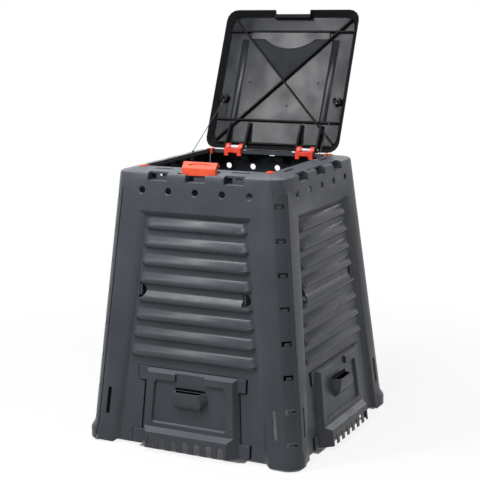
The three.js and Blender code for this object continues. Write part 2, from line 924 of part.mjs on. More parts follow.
function handleRing(z, half, frontHalf, off, inset) {
  const back = hatchFaceOff - panelDepth - (inset > 0 ? handleBehind : overlap);
  return { at: z, points: pairs([
    [inset - half, -back], [inset - frontHalf, -off + inset], [frontHalf - inset, -off + inset],
    [half - inset, -back],
  ]) };
}

// Horizontal outlines of the handle follow the leaning wall
const upright = new THREE.Matrix4().set(
  1, 0, 0, 0,
  0, 1, taperShare, -baseHalf,
  0, 0, 1, 0,
  0, 0, 0, 1,
);

function handle() {
  const lowOff = hatchFaceOff - panelDepth + overlap;
  const outer = solid(loft([
    handleRing(handleLow, handleLowHalf, handleLowFrontHalf, lowOff, 0),
    handleRing(handleBelly, handleBellyHalf, handleBellyFrontHalf, handleBellyOff, 0),
    handleRing(handleLip, handleLipHalf, handleLipFrontHalf, handleOff + handleLipBulge, 0),
    handleRing(handleTop, handleTopHalf, handleTopFrontHalf, handleOff, 0),
  ]), upright);
  const inner = solid(loft([
    handleRing(handleBelly, handleBellyHalf, handleBellyFrontHalf, handleBellyOff - handleSkin, handleSkin),
    handleRing(handleLip, handleLipHalf, handleLipFrontHalf, handleOff, handleSkin),
    handleRing(handleTop + overlap, handleTopHalf, handleTopFrontHalf, handleOff, handleSkin),
  ]), upright);
  const keepOff = hatchFaceOff - panelDepth - handleBehind;
  const front = panelBlock(-reach, reach, -reach, handleTop - handleMouth, keepOff, reach)
    .add(panelBlock(-reach, reach, -reach, reach, hatchFaceOff - panelDepth, reach));
  const holeHalf = handleTopHalf - handleSkin;
  const hole = panelPlate(
    quad(handleTop - overlap, holeHalf, handleHole, holeHalf - handleSkin), keepOff, hatchFaceOff,
  );
  return { outer, inner: inner.intersect(front).add(hole) };
}

function arch(centre) {
  const spring = archTop - archHalf;
  const outline = [
    new THREE.Vector2(centre - archHalf, -reach / 8), new THREE.Vector2(centre + archHalf, -reach / 8),
    ...arc(centre, spring, archHalf, 0, Math.PI, archSteps),
  ];
  return panelPlate(outline, ledgeOff - 2 * hatchSkin, ledgeOff + overlap);
}

function lugs() {
  const face = -fieldDepth;
  const back = -hatchPlateBack;
  const bars = [
    [topNotchHalf - lugSideRoom, topNotchLow + lugLowRoom, topNotchHigh - hatchGap],
    [bottomNotchHalf - lugSideRoom, bottomNotchLow + lugLowRoom, bottomNotchHigh - hatchGap],
  ];
  const grip = 4 * hatchSkin;
  return bars.flatMap(([far, low, high]) => [-1, 1].map((side) => {
    const near = Math.min(hatchTopHalf - hatchSideGap - hatchSkin, far) - grip / 4;
    const ends = [side * near, side * far].sort((a, b) => a - b);
    return panelBlock(ends[0], ends[1], low, high, back, face + lugThickness - wallThickness);
  }));
}

function hatch() {
  const grip = handle();
  const arches = [];
  for (let i = 0; i < archCount; i++) arches.push(arch((i - (archCount - 1) / 2) * archPitch));
  const hollow = without(hatchShell(hatchSkin), [facePanel(hatchSkin)]);
  const face = without(hatchShell(0), [facePanel(0), hollow, ...arches]);
  return without(joined([face, grip.outer, ...lugs()]), [grip.inner, hollow]);
}

// The lid is drawn closed, with the hinge axis along X through the origin: -Y is along the lid and Z
// counts up from the rim. It is then swung open about the axis.
const lidPlace = new THREE.Matrix4().makeTranslation(0, hingeBack, hingeHeight)
  .multiply(new THREE.Matrix4().makeRotationX(-quarterTurn - lidLean))
  .multiply(new THREE.Matrix4().makeTranslation(0, 0, -rimDrop));
const lidBlock = (x0, x1, s0, s1, h0, h1) => block(x0, x1, -s1, -s0, h0, h1);

function lidOutline(inset, flareShare) {
  const half = lidHalf - inset - lidSideFlare * flareShare;
  const near = lidRear - inset - lidRearFlare * flareShare;
  const far = inset - lidFront + lidFrontFlare * flareShare;
  const corner = Math.max(lidCorner - inset, smallestCorner);
  return [
    ...arc(half - corner, far + corner, corner, -quarterTurn, quarterTurn, lidCornerSteps),
    ...arc(half - corner, near - corner, corner, 0, quarterTurn, lidCornerSteps),
    ...arc(corner - half, near - corner, corner, quarterTurn, quarterTurn, lidCornerSteps),
    ...arc(corner - half, far + corner, corner, 2 * quarterTurn, quarterTurn, lidCornerSteps),
  ];
}

// Tray with flared sides; the hollow is the same shape one skin smaller
function lidShell(inset) {
  const ring = (at) => ({ at, points: lidOutline(inset, at / lidDepth) });
  return solid(loft([ring(inset > 0 ? -overlap : 0), ring(lidDepth - inset)]));
}

const lidRibTop = lidDepth - lidSkin / 2;
const lidRibLow = lidDepth - lidSkin - lidRibDepth;

function ribBetween(x0, s0, x1, s1) {
  const along = new THREE.Vector2(x1 - x0, s0 - s1);
  const side = new THREE.Vector2(-along.y, along.x).setLength(lidRibWidth / 2);
  return plate(pairs([
    [x0 - side.x, -s0 - side.y], [x1 - side.x, -s1 - side.y],
    [x1 + side.x, side.y - s1], [x0 + side.x, side.y - s0],
  ]), lidRibLow, lidRibTop);
}

function lidRibs() {
  const far = lidHalf - lidSideFlare - lidSkin / 2;
  return [
    ribBetween(-crossAside, crossNear, crossAside, crossFar),
    ribBetween(crossAside, crossNear, -crossAside, crossFar),
    ...crossRibs.map((along) => lidBlock(-far, far, along, along + lidRibWidth, lidRibLow, lidRibTop)),
  ];
}

// Deep rib plates on both sides of each bracket carry the hinge pins
function hingeRibs() {
  const outline = [
    ...arc(0, rimDrop, hingeRibHub, -quarterTurn, 2 * quarterTurn, hubSteps / 2),
    new THREE.Vector2(lidRear - lidRearFlare, lidRibTop),
    new THREE.Vector2(-hingeRibEnd, lidRibTop),
    new THREE.Vector2(-hingeRibEnd, lidRibLow),
    new THREE.Vector2(-hingeRibFlat, rimDrop - hingeRibHub / 2),
  ];
  const inner = bracketHalf + looseGap;
  return [-bracketAside, bracketAside].flatMap((place) => [-1, 1].map((side) => {
    const ends = [place + side * inner, place + side * (inner + hingeRibWidth)].sort((a, b) => a - b);
    return profile(outline, ends[0], ends[1]);
  }));
}

const pinBore = boreAround(pinRadius, pinFit, pinSides);
const pinBores = () => [-bracketAside, bracketAside].map((place) => rodAlongX(
  place - pinHalf - overlap, place + pinHalf + overlap, 0, rimDrop, pinBore, pinSides,
));

// Sloping scoop-shaped area below the front cross rib, with a wing on each side
function scoop() {
  const far = crossRibs[crossRibs.length - 1] + lidRibWidth / 2;
  const near = far - scoopWingLength;
  const sweep = 2 * Math.asin(scoopSide / scoopRadius);
  const centre = near + scoopRadius * Math.cos(sweep / 2);
  const tip = centre - scoopRadius;
  const outline = [
    new THREE.Vector2(-scoopWing, -far), new THREE.Vector2(scoopWing, -far),
    new THREE.Vector2(scoopWing, -near),
    ...arc(0, -centre, scoopRadius, quarterTurn - sweep / 2, sweep, scoopSteps),
    new THREE.Vector2(-scoopWing, -near),
  ];
  const face = lidDepth - lidSkin;
  const slopeShare = (scoopRise - scoopEdge) / (far - tip);
  const slope = pairs([
    [-tip + overlap, face - scoopEdge], [-reach, face - scoopEdge - (reach - tip) * slopeShare],
    [-reach, -reach], [-tip + overlap, -reach],
  ]);
  return without(plate(outline, face - scoopRise, lidRibTop), [profile(slope, -reach, reach)]);
}

// Holes for the stay plugs in their gussets
const gussetLow = lidDepth - lidSkin - lidRibDepth / 2;
const anchorPlaces = [-anchorAside, anchorAside];
const gussets = () => anchorPlaces.map((x) => lidBlock(
  x - gussetWidth / 2, x + gussetWidth / 2, anchorAlong - gussetLength / 2, anchorAlong + gussetLength / 2,
  gussetLow, lidRibTop,
));
const anchorHoles = () => anchorPlaces.map((x) => plate(
  oval(x, -anchorAlong, plugStem + plugFit, plugStem + plugFit, plugSides),
  gussetLow - overlap, gussetLow + lidPlugGrip + touchGap,
));

// Notch in the front skirt with a ledge that the latch catches
function notchLedge() {
  const from = lidNotchStart - lidSkin / 2;
  const ledge = lidBlock(
    -lidNotchHalf, lidNotchHalf, from, lidNotchStart + lidLedgeLength, lidLedgeLow, lidLedgeHigh,
  );
  const bumps = [-lidBumpAside, lidBumpAside].map((x) => lidBlock(
    x - lidBumpHalf, x + lidBumpHalf, from, lidNotchStart + lidLedgeLength / 2,
    lidLedgeHigh - touchGap, lidLedgeHigh + lidBumpHalf,
  ));
  return joined([ledge, ...bumps]);
}

// Room for the brackets in the rear skirt, between the deep rib plates
const bracketRooms = () => [-bracketAside, bracketAside].flatMap((place) => {
  const half = bracketHalf + looseGap;
  return [
    rodAlongX(place - half, place + half, 0, rimDrop, hubRadius + hubRoom, pinSides),
    lidBlock(place - half, place + half, -hubRadius - hubRoom, hubRadius + hubRoom, -reach, rimDrop),
  ];
});

function lid() {
  const notch = lidBlock(-lidNotchHalf, lidNotchHalf, lidNotchStart, reach, -overlap, reach);
  const wall = lidBlock(
    -lidNotchHalf - lidSkin, lidNotchHalf + lidSkin, lidNotchStart - lidSkin, lidFront - lidSkin,
    lidLedgeLow, lidDepth,
  ).intersect(lidShell(0));
  const tray = without(lidShell(0), [lidShell(lidSkin)]);
  const whole = joined([tray, wall, scoop(), ...lidRibs(), ...hingeRibs(), ...gussets()]);
  return without(whole, [notch, ...pinBores(), ...bracketRooms(), ...anchorHoles()]).add(notchLedge());
}

// Bracket that straddles the back lip and carries a hinge pin
function hingeBracket(place) {
  const lipFace = openingHalf - touchGap;
  const frontFace = openingHalf - bracketFront;
  const base = openingTop + 2 * touchGap;
  const slot = openingHalf + shoulderSlotNear;
  const hookFace = slot + (shoulderSlotWidth - hookThickness) / 2;
  const cheek = [
    new THREE.Vector2(frontFace, bracketFoot), new THREE.Vector2(lipFace, bracketFoot),
    new THREE.Vector2(lipFace, base), new THREE.Vector2(hingeBack + hubRadius, base),
    ...arc(hingeBack, hingeHeight, hubRadius, 0, Math.PI, hubSteps),
    new THREE.Vector2(frontFace, base + bracketBase),
  ];
  const cheeks = [-1, 1].map((side) => {
    const across = [bracketHalf, bracketHalf - cheekWidth].map((reachOut) => place + side * reachOut);
    const ends = across.sort((a, b) => a - b);
    return profile(cheek, ends[0], ends[1]);
  });
  const bar = block(
    place - bracketHalf + overlap, place + bracketHalf - overlap, frontFace, slot + shoulderSlotWidth,
    base, base + bracketBase / 2,
  );
  const front = block(
    place - bracketHalf + overlap, place + bracketHalf - overlap, frontFace, frontFace + bracketBase,
    base - bracketBase * 2, base + bracketBase / 2,
  );
  const hook = block(
    place - bracketHalf + hookShort, place + bracketHalf - hookShort,
    hookFace, hookFace + hookThickness, hookFoot, base + bracketBase / 4,
  );
  const bore = rodAlongX(
    place - reach, place + reach, hingeBack, hingeHeight, pinBore, pinSides,
  );
  const between = rodAlongX(
    place - bracketHalf + cheekWidth, place + bracketHalf - cheekWidth,
    hingeBack, hingeHeight, pinRadius + looseGap, pinSides,
  );
  return without(joined([...cheeks, bar, front, hook]), [bore, between]);
}

function hingePin(place) {
  return rodAlongX(place - pinHalf, place + pinHalf, hingeBack, hingeHeight, pinRadius, pinSides);
}

const latchPinBore = boreAround(latchPinRadius, latchPinFit, pinSides);
function latchPinRod(radius) {
  const half = seatHalf + wallThickness - touchGap;
  return rodAlongX(-half, half, -latchAxisOut, latchAxisHeight, radius, pinSides);
}

function latch() {
  const above = (rise) => latchAxisHeight + rise;
  const foot = above(-latchFootDrop);
  const bend = above(latchBendRise);
  const crown = above(latchCrownRise);
  const throat = new THREE.Vector2(-latchThroat, above(latchThroatRise));
  const outline = [
    ...pairs([[-latchFace, foot], [-latchBack, foot], [-latchBack, above(latchBackRise)]]), throat,
    ...pairs([
      [-latchNoseLow, above(latchNoseLowRise)], [-latchNose, above(latchNoseRise)],
      [-latchCrown, crown], [-latchFace, bend],
    ]),
  ];
  const bar = profile(outline, latchSide - latchHalf, latchSide + latchHalf);
  const cheek = [
    new THREE.Vector2(-latchFace, foot),
    ...arc(-latchAxisOut, latchAxisHeight, latchHub, -quarterTurn, 2 * quarterTurn, hubSteps / 2),
    throat, new THREE.Vector2(-latchFace, bend),
  ];
  const cheeks = [-1, 1].map((side) => {
    const ends = [side * latchHalf, side * (latchHalf - latchCheek)].sort((a, b) => a - b);
    return profile(cheek, latchSide + ends[0], latchSide + ends[1]);
  });
  const rise = crown - bend;
  const run = latchFace - latchCrown;
  const tilt = Math.atan2(run, rise);
  const scoop = new THREE.Matrix4().makeTranslation(
    latchSide, -(latchFace + latchCrown) / 2, (bend + crown) / 2,
  ).multiply(new THREE.Matrix4().makeRotationX(quarterTurn - tilt));
  const finger = plate(oval(0, 0, fingerHalf, fingerHalfWidth, fingerSides), -fingerDepth, reach / 8, scoop);
  return without(joined([bar, ...cheeks]), [finger, latchPinRod(latchPinBore)]);
}

// Clip over the opening's front right corner, seated on the shoulder; the others are turned copies
function cornerClip() {
  const near = openingHalf - clipInside;
  const far = openingHalf + clipBeyond;
  const shoulder = wallSolid(outerRows(0), 0);
  const crown = block(near, far, -far, -near, edgeStart, openingTop + touchGap + clipCap);
  const cap = crown.intersect(shoulder.translate([0, 0, touchGap + clipCap]))
    .subtract(shoulder.translate([0, 0, touchGap]));
  const legFar = openingHalf - clipLegInside;
  const legNear = legFar - clipLeg;
  const leg = block(legNear, legFar, -legFar, -legNear, clipFoot, openingTop + touchGap + clipCap);
  return cap.add(leg);
}

// Plug with a round head, a stem through the sheet and a wider foot behind it
function stayPlug(grip, foot, footLength) {
  const points = pairs([
    [0, -grip - footLength], [foot / 2, -grip - footLength], [foot, -grip],
    [plugStem, -grip], [plugStem, plugHead * plugRootShare],
    [plugHead * plugNeckShare, plugHead * (1 - plugNeckRiseShare)], [plugHead, plugHead],
    [plugHead * plugNeckShare, plugHead * (1 + plugNeckRiseShare)], [0, 2 * plugHead],
  ]);
  const outline = footLength > 0 ? points : [points[0], ...points.slice(3)];
  const geometry = new THREE.LatheGeometry(outline, plugSides);
  geometry.rotateX(quarterTurn);
  return geometry;
}

// Same body with flat faces and welded corners
const welded = (geometry) => surface(solid(geometry));

// Height of the shoulder's slope at a distance from the middle
const shoulderAt = (half) => {
  const far = halfAt(edgeStart) - edgeRun;
  return openingTop - (half - openingHalf) * (openingTop - edgeStart - edgeRise) / (far - openingHalf);
};

// Upright plug in the shoulder of a side wall
const wallPlugPlace = (side) => new THREE.Matrix4().makeTranslation(
  side * wallPlugAside, wallPlugBack, shoulderAt(wallPlugAside - plugHead),
);

// Plug under the gusset in the open lid, head towards the hollow
function lidPlugPlace(side) {
  const under = new THREE.Matrix4().makeTranslation(side * anchorAside, -anchorAlong, gussetLow);
  return lidPlace.clone().multiply(under)
    .multiply(new THREE.Matrix4().makeRotationX(2 * quarterTurn));
}

// Straight cord between the heads of two plugs
function stay(side) {
  const head = new THREE.Vector3(0, 0, plugHead);
  const low = head.clone().applyMatrix4(wallPlugPlace(side));
  const high = head.clone().applyMatrix4(lidPlugPlace(side));
  const along = high.clone().sub(low).normalize();
  low.addScaledVector(along, plugHead + touchGap);
  high.addScaledVector(along, -plugHead - touchGap);
  const steps = Math.round(low.distanceTo(high) / cordStep);
  const shape = new THREE.Shape(oval(0, 0, cordRadius, cordRadius, cordSides));
  return new THREE.ExtrudeGeometry(shape, {
    steps, bevelEnabled: false, extrudePath: new THREE.LineCurve3(low, high),
  });
}

function build() {
  const group = new THREE.Group();
  group.name = 'compost_bin';
  const add = (name, geometry, material) => {
    const mesh = new THREE.Mesh(geometry, material);
    mesh.name = name;
    mesh.material.name = name;
    group.add(mesh);
    return mesh;
  };
  const faces = ['front', 'right', 'back', 'left'];
  const plainPanel = surface(wallPanel(false));
  const frontPanel = surface(wallPanel(true));
  const hatchBody = surface(hatch());
  const clipBody = surface(cornerClip());
  faces.forEach((face, turn) => {
    const angle = turn * quarterTurn;
    const panel = face === 'front' ? frontPanel : plainPanel;
    add(`panel_${face}`, panel.clone().rotateZ(angle), slatePlastic());
    add(`hatch_${face}`, hatchBody.clone().rotateZ(angle), hatchPlastic());
    add(`corner_clip_${face}`, clipBody.clone().rotateZ(angle), orangePlastic());
  });
  add('lid', surface(lid()).applyMatrix4(lidPlace), blackPlastic());
  for (const [name, place] of [['left', -bracketAside], ['right', bracketAside]]) {
    add(`hinge_bracket_${name}`, surface(hingeBracket(place)), redOrangePlastic());
    add(`hinge_pin_${name}`, surface(hingePin(place)), palePin());
  }
  add('latch', surface(latch()), orangePlastic());
  add('latch_pin', surface(latchPinRod(latchPinRadius)), palePin());
  for (const [name, side] of [['left', -1], ['right', 1]]) {
    add(`stay_cord_${name}`, welded(stay(side)), cordFibre());
    const wallPlug = welded(stayPlug(plugGrip, plugFoot, plugFootLength));
    add(`wall_plug_${name}`, wallPlug.applyMatrix4(wallPlugPlace(side)), plugPlastic());
    const lidPlug = welded(stayPlug(lidPlugGrip, plugStem, 0));
    add(`lid_plug_${name}`, lidPlug.applyMatrix4(lidPlugPlace(side)), plugPlastic());
  }
  // The footprint's middle is the origin
  const bounds = new THREE.Box3().setFromObject(group);
  const middle = bounds.getCenter(new THREE.Vector3());
  for (const mesh of group.children) mesh.geometry.translate(-middle.x, -middle.y, -bounds.min.z);
  return group;
}

export default build();
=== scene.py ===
# Garden compost bin with its lid open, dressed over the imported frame. Metres, +Z up, front towards -Y.
import json
import math

import bmesh
import bpy
from mathutils import Matrix, Vector


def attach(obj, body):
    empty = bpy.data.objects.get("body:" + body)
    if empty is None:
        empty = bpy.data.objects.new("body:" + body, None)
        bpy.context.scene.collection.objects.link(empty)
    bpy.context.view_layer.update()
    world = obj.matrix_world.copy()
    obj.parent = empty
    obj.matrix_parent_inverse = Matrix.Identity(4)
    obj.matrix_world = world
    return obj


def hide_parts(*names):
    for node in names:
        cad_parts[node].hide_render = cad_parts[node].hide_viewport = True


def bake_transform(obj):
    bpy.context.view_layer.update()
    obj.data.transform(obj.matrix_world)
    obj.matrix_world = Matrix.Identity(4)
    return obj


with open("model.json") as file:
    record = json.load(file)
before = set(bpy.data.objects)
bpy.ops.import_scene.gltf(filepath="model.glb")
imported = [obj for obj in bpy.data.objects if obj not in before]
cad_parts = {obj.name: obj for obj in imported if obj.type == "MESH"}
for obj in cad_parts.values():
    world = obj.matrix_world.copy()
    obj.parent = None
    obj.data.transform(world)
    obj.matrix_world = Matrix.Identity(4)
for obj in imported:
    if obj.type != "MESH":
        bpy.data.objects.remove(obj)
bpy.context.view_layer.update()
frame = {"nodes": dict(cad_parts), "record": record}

# Camera: the photograph's viewing angle
CAMERA_TURN = math.radians(27.266)
CAMERA_RISE = math.radians(11.327)
CAMERA_ROLL = math.radians(-0.8734)
CAMERA_DISTANCE = 5.1659
CAMERA_FOCAL = 96.151
CAMERA_REACH = 50
SENSOR = 36.0
TARGET_RIGHT = 0.0016
TARGET_HEIGHT = 0.7589

# The walls' middle lies this far in front of the frame's origin
WALLS_Y = -0.02782

# Lid: hinge axis, lean when open, the rim's drop below the axis and the plate's height off the rim
HINGE_Y = 0.294
HINGE_Z = 1.095
LID_LEAN = math.radians(23.15)
LID_RIM_DROP = 0.006
LID_PLATE = 0.024

# Stays
CORD_DIAMETER = 0.003
CORD_POINTS = 40
CORD_SIDES = 8

NODES = frame["nodes"]
BODY_OF = {node: body for body, nodes in frame["record"]["behaviour"]["bodies"].items() for node in nodes}
FACES = ("front", "right", "back", "left")


def link(name, data):
    piece = bpy.data.objects.new(name, data)
    bpy.context.scene.collection.objects.link(piece)
    return piece


def make_camera():
    toward = Vector((
        math.sin(CAMERA_TURN) * math.cos(CAMERA_RISE),
        -math.cos(CAMERA_TURN) * math.cos(CAMERA_RISE),
        math.sin(CAMERA_RISE),
    ))
    sideways = Vector((math.cos(CAMERA_TURN), math.sin(CAMERA_TURN), 0))
    up = toward.cross(sideways)
    right = sideways * math.cos(CAMERA_ROLL) + up * math.sin(CAMERA_ROLL)
    up = up * math.cos(CAMERA_ROLL) - sideways * math.sin(CAMERA_ROLL)
    target = sideways * TARGET_RIGHT + Vector((0, WALLS_Y, TARGET_HEIGHT))
    data = bpy.data.cameras.new("photo_camera")
    data.sensor_width = SENSOR
    data.lens = CAMERA_FOCAL
    data.clip_end = CAMERA_REACH
    camera = link("photo_camera", data)
    camera.matrix_world = Matrix((right, up, toward)).transposed().to_4x4()
    camera.location = target + toward * CAMERA_DISTANCE
    bpy.context.scene.camera = camera


make_camera()


def linear(red, green, blue):
    """Colour as it is seen, 0 to 255, to the shader's scale."""
    def one(value):
        share = value / 255
        return share / 12.92 if share <= 0.04045 else ((share + 0.055) / 1.055) ** 2.4
    return (one(red), one(green), one(blue), 1)


class Nodes:
    """A node tree, with short ways to add and join nodes."""

    def __init__(self, tree):
        self.tree = tree
        self.tree.nodes.clear()

    def add(self, kind, **settings):
        node = self.tree.nodes.new(kind)
        for key, value in settings.items():
            setattr(node, key, value)
        return node

    def join(self, start, end):
        self.tree.links.new(start, end)

    def combine(self, operation, first, second):
        node = self.add("ShaderNodeMath", operation=operation)
        self.join(first, node.inputs[0])
        self.join(second, node.inputs[1])
        return node.outputs["Value"]

    def seen(self):
        """One for what the eye, a reflection or a clear body sees, and nothing for the light itself."""
        path = self.add("ShaderNodeLightPath")
        direct = self.combine("MAXIMUM", path.outputs["Is Camera Ray"], path.outputs["Is Glossy Ray"])
        return self.combine("MAXIMUM", direct, path.outputs["Is Transmission Ray"])

    def white(self, kind, strength):
        """White light from a node of the kind given."""
        node = self.add(kind)
        node.inputs["Color"].default_value = (1, 1, 1, 1)
        node.inputs["Strength"].default_value = strength
        return node.outputs[0]

    def blend(self, factor, first, second):
        node = self.add("ShaderNodeMixShader")
        self.join(factor, node.inputs["Fac"])
        self.join(first, node.inputs[1])
        self.join(second, node.inputs[2])
        return node.outputs["Shader"]


class Shader(Nodes):
    """A material with one main surface and the textures that feed it."""

    def __init__(self, name):
        self.material = bpy.data.materials.new(name)
        self.material.use_nodes = True
        super().__init__(self.material.node_tree)
        self.output = self.add("ShaderNodeOutputMaterial")
        self.surface = self.add("ShaderNodeBsdfPrincipled")
        self.join(self.surface.outputs["BSDF"], self.output.inputs["Surface"])

    def feed(self, source, socket):
        self.join(source, self.surface.inputs[socket])

    def fix(self, socket, value):
        self.surface.inputs[socket].default_value = value

    def place(self, scale):
        """Object coordinates stretched by scale."""
        where = self.add("ShaderNodeTexCoord")
        stretch = self.add("ShaderNodeMapping")
        stretch.inputs["Scale"].default_value = scale
        self.join(where.outputs["Object"], stretch.inputs["Vector"])
        return stretch.outputs["Vector"]

    def noise(self, scale, detail=3.0, stretch=(1, 1, 1)):
        node = self.add("ShaderNodeTexNoise")
        node.inputs["Scale"].default_value = scale
        node.inputs["Detail"].default_value = detail
        self.join(self.place(stretch), node.inputs["Vector"])
        return node.outputs["Fac"]

    def range(self, source, low, high, start=0.3, end=0.7):
        node = self.add("ShaderNodeMapRange")
        node.inputs["From Min"].default_value = start
        node.inputs["From Max"].default_value = end
        node.inputs["To Min"].default_value = low
        node.inputs["To Max"].default_value = high
        self.join(source, node.inputs["Value"])
        return node.outputs["Result"]

    def mix(self, factor, first, second):
        node = self.add("ShaderNodeMix", data_type="RGBA")
        self.join(factor, node.inputs["Factor"])
        for socket, value in ((node.inputs["A"], first), (node.inputs["B"], second)):
            if isinstance(value, tuple):
                socket.default_value = value
            else:
                self.join(value, socket)
        return node.outputs["Result"]

    def bump(self, height, depth, below=None):
        node = self.add("ShaderNodeBump")
        node.inputs["Strength"].default_value = 1
        node.inputs["Distance"].default_value = depth
        self.join(height, node.inputs["Height"])
        if below is not None:
            self.join(below, node.inputs["Normal"])
        return node.outputs["Normal"]

    def facing_up(self):
        """How far the surface looks upwards."""
        where = self.add("ShaderNodeNewGeometry")
        parts = self.add("ShaderNodeSeparateXYZ")
        self.join(where.outputs["Normal"], parts.inputs["Vector"])
        return parts.outputs["Z"]

    def edges(self, radius):
        node = self.add("ShaderNodeBevel", samples=4)
        node.inputs["Radius"].default_value = radius
        return node.outputs["Normal"]

    def clouded(self, scale, colour, second):
        """A colour that drifts to a second one in soft clouds."""
        clouds = self.noise(scale, detail=4.0)
        return self.mix(self.range(clouds, 0.0, 1.0), linear(*colour), linear(*second))

    def patchy(self, scale, detail, low, high):
        """Roughness that changes in patches, from low to high."""
        self.feed(self.range(self.noise(scale, detail), low, high), "Roughness")

    def grained(self, scale, depth, radius):
        """A fine grain over edges rounded by radius."""
        return self.bump(self.noise(scale, detail=2.0), depth, self.edges(radius))


# A paler colour painted on the faces that look up, as painted light from above, and how much lighter a
# flow mark is
TOP_LIGHT_PAINT = (92, 95, 101)
STREAK_GAIN = 1.25


def slate_plastic(name, colour, worn, roughness=0.3):
    """Dark moulded plastic with a fine grain, flow marks and painted light on the faces that look up."""
    made = Shader(name)
    made.fix("Specular IOR Level", 0.2)
    tone = made.clouded(5.0, colour, worn)
    flow = made.noise(3.0, stretch=(6, 6, 0.6))
    streak = made.range(flow, 0.0, 0.28, start=0.45, end=0.75)
    shade = tuple(value * STREAK_GAIN for value in linear(*worn)[:3]) + (1,)
    # Painted light: faces that look up are mixed towards a paler colour, as if lit from above
    painted_top_light = made.range(made.facing_up(), 0.0, 0.85, start=0.5, end=0.92)
    made.feed(made.mix(painted_top_light, made.mix(streak, tone, shade), linear(*TOP_LIGHT_PAINT)), "Base Color")
    made.patchy(14.0, detail=5.0, low=roughness - 0.05, high=roughness + 0.07)
    normal = made.grained(1400.0, depth=0.00012, radius=0.0018)
    ripple = made.noise(9.0, detail=2.0)
    made.feed(made.bump(ripple, 0.0012, normal), "Normal")
    return made.material


def matt_plastic(name, colour, worn, roughness=0.5):
    """Black moulded plastic with a fine grain."""
    made = Shader(name)
    made.fix("Specular IOR Level", 0.05)
    made.feed(made.clouded(9.0, colour, worn), "Base Color")
    made.patchy(15.0, detail=4.0, low=roughness - 0.06, high=roughness + 0.08)
    made.feed(made.grained(1400.0, depth=0.0001, radius=0.0012), "Normal")
    return made.material


def gloss_plastic(name, colour, haze, roughness=0.16):
    """Smooth black plastic with slight waves and finger haze."""
    made = Shader(name)
    made.fix("Specular IOR Level", 0.085)
    made.feed(made.clouded(7.0, colour, haze), "Base Color")
    made.patchy(11.0, detail=6.0, low=roughness - 0.05, high=roughness + 0.12)
    normal = made.grained(900.0, depth=0.00004, radius=0.0015)
    wave = made.noise(5.0, detail=1.0, stretch=(1.6, 0.7, 1))
    made.feed(made.bump(wave, 0.0022, normal), "Normal")
    return made.material


def bright_plastic(name, colour, deep, roughness=0.38):
    """Clip plastic with a satin face and darker scuffs."""
    made = Shader(name)
    made.feed(made.clouded(40.0, colour, deep), "Base Color")
    made.patchy(60.0, detail=3.0, low=roughness - 0.06, high=roughness + 0.1)
    made.feed(made.grained(1600.0, depth=0.00008, radius=0.0012), "Normal")
    return made.material


def braided_cord(name, dark, pale):
    """Dark cord with the small diagonal ridges of a braid."""
    made = Shader(name)
    wave = made.add("ShaderNodeTexWave", wave_type="BANDS", bands_direction="DIAGONAL")
    wave.inputs["Scale"].default_value = 260
    wave.inputs["Distortion"].default_value = 1.5
    made.join(made.place((1, 1, 1)), wave.inputs["Vector"])
    made.feed(made.mix(wave.outputs["Fac"], linear(*dark), linear(*pale)), "Base Color")
    made.fix("Roughness", 0.85)
    made.feed(made.bump(wave.outputs["Fac"], 0.0003), "Normal")
    return made.material


ORANGE = ((212, 74, 36), (194, 64, 30))
MATERIALS = {
    "wall": slate_plastic("slate_wall", (52, 55, 60), (60, 63, 69)),
    "hatch": slate_plastic("slate_hatch", (52, 55, 60), (59, 62, 68), 0.32),
    "lid": matt_plastic("black_lid", (15, 16, 17), (21, 22, 24)),
    "lid_field": matt_plastic("black_lid_field", (34, 36, 39), (41, 43, 46), 0.6),
    "lid_plate": gloss_plastic("black_lid_gloss", (22, 24, 28), (30, 32, 36)),
    "orange_clip": bright_plastic("orange_clip", *ORANGE),
    "orange_latch": bright_plastic("orange_latch", *ORANGE),
    "red_bracket": bright_plastic("red_bracket", (225, 70, 45), (200, 56, 36)),
    "pale_pin": bright_plastic("pale_pin", (190, 194, 200), (170, 174, 182), 0.3),
    "cord": braided_cord("cord_braid", (38, 38, 40), (78, 78, 80)),
    "plug": bright_plastic("dark_plug", (32, 33, 36), (44, 45, 48), 0.45),
}
SLOT_OF = {entry["node"]: entry["material_slot"] for entry in frame["record"]["subparts"]}


# Points this near are one point, and a seam flatter than this is no seam
WELD = 0.00002
FLAT_SEAM = math.radians(0.3)
# Edges turned by more than these are left sharp, or bevelled where a piece has a bevel
SHARP_EDGE = math.radians(34)
BEVELLED_EDGE = math.radians(20)


def refine(bm, sharp=SHARP_EDGE):
    """Welds a solid, clears flat seams and shades it smooth between its sharp edges."""
    bmesh.ops.remove_doubles(bm, verts=bm.verts, dist=WELD)
    bmesh.ops.dissolve_limit(bm, angle_limit=FLAT_SEAM, verts=bm.verts, edges=bm.edges)
    bmesh.ops.triangulate(bm, faces=[face for face in bm.faces if len(face.verts) > 4])
    for face in bm.faces:
        face.smooth = True
    for edge in bm.edges:
        edge.smooth = len(edge.link_faces) == 2 and edge.calc_face_angle(0) < sharp


LID = (
    Matrix.Translation((0, HINGE_Y + WALLS_Y, HINGE_Z))
    @ Matrix.Rotation(-math.pi / 2 - LID_LEAN, 4, "X")
    @ Matrix.Translation((0, 0, -LID_RIM_DROP))
)

# The plate's matt quarter starts where the diagonal ribs cross and ends at the front rib. The share is
# its half width for each length beyond the crossing
CROSS_ALONG = 0.3115
CROSS_SHARE = 0.858
FRONT_RIB = 0.498
# A face that looks inward past this share is plate or scoop between these heights off the rim
INWARD_SHARE = 0.9
SCOOP_LOW = LID_PLATE - 0.0075
PLATE_LOW = LID_PLATE - 0.0002
PLATE_HIGH = LID_PLATE + 0.0005
# The lid's finishes after its own black
GLOSS, MATT = 1, 2


